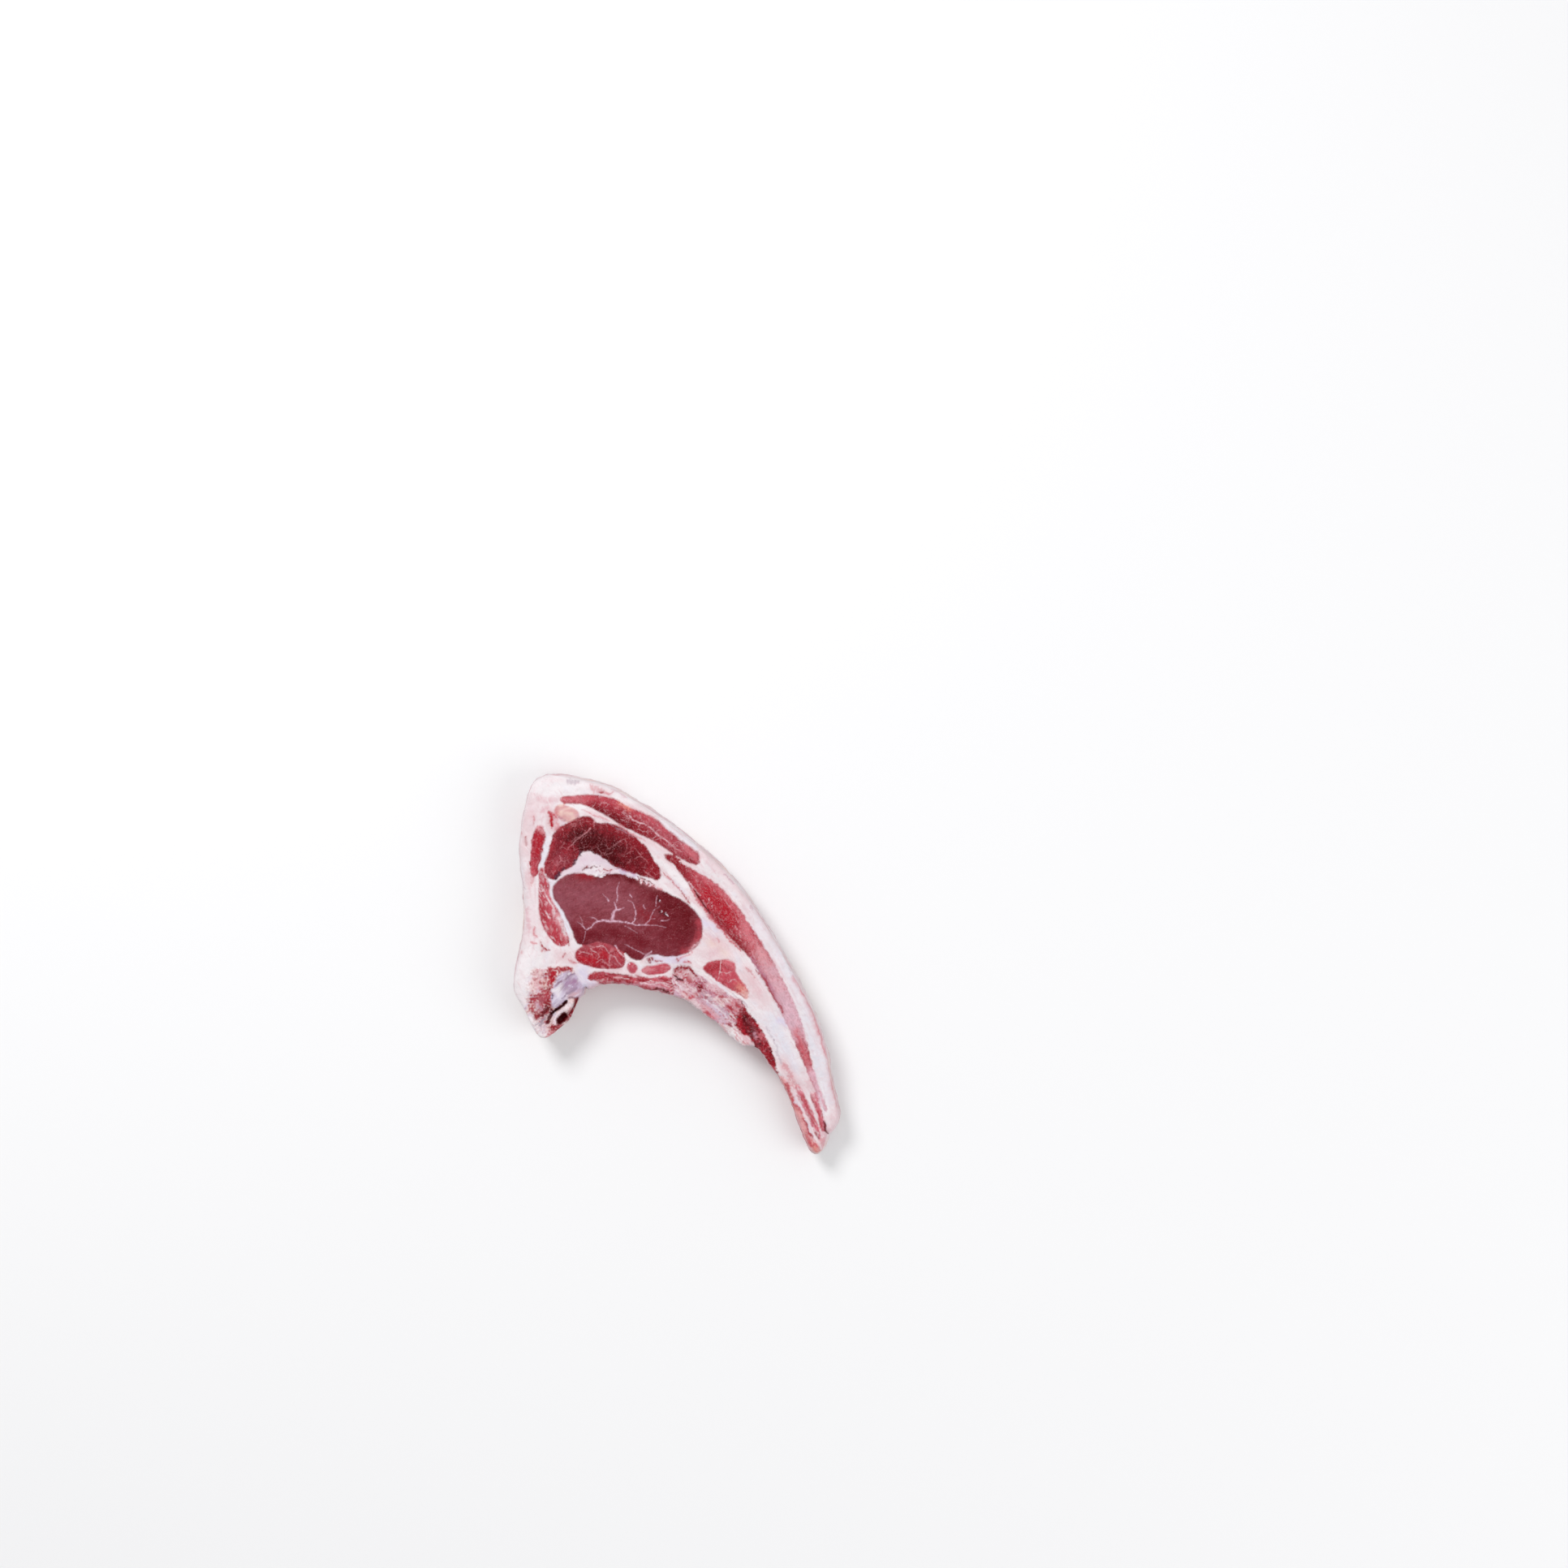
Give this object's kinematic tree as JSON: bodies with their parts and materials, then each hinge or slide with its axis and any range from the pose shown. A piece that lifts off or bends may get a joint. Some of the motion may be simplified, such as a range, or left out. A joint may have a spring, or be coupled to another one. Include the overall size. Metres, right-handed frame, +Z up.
{
  "type": "lamb chop",
  "caption": "Raw lamb rib chop: one flat slice with its round eye, dark cap and long flank muscles in white fat, sawn rib and half vertebra, tapering to a thin tail.",
  "frame": {"origin": "centre of the chop's bounding box, on the flat cut face it lies on", "axes": "+Z up out of the shown cut face, +Y from the thin tail end towards the fat knob, +X towards the outer fat edge"},
  "size_m": [0.1279, 0.1498, 0.021],
  "materials": {
    "fat": "raw fat, moist, pinkish white",
    "eye_lean": "raw lean, moist, brownish red",
    "dark_lean": "raw lean, moist, dark maroon",
    "bright_lean": "raw lean, moist, bright red",
    "pale_lean": "raw lean streaked with fat, moist, pink",
    "ligament": "ligament, smooth, cream pink",
    "bone": "sawn spongy bone, pink",
    "marrow": "wet red marrow, dark red",
    "cartilage": "cartilage, smooth, bluish lilac",
    "membrane": "torn membrane, wet, pale pink"
  },
  "bodies": {
    "root": {"fat_body": "fat", "eye_muscle": "eye_lean", "cap_muscle": "dark_lean", "shoulder_muscle": "bright_lean", "flank_muscle": "bright_lean", "neck_ligament": "ligament", "back_oval_muscle": "bright_lean", "spine_muscle": "bright_lean", "under_muscle": "bright_lean", "small_round_muscle": "bright_lean", "under_strip_muscle": "bright_lean", "rib_muscle": "bright_lean", "rib_marrow": "marrow", "edge_membrane": "membrane", "rib_bone": "bone", "inner_strip": "pale_lean", "cartilage": "cartilage", "vertebra": "bone", "tail_strip_inner": "pale_lean", "tail_strip_middle": "pale_lean", "tail_strip_outer": "pale_lean"}
  },
  "joints": []
}
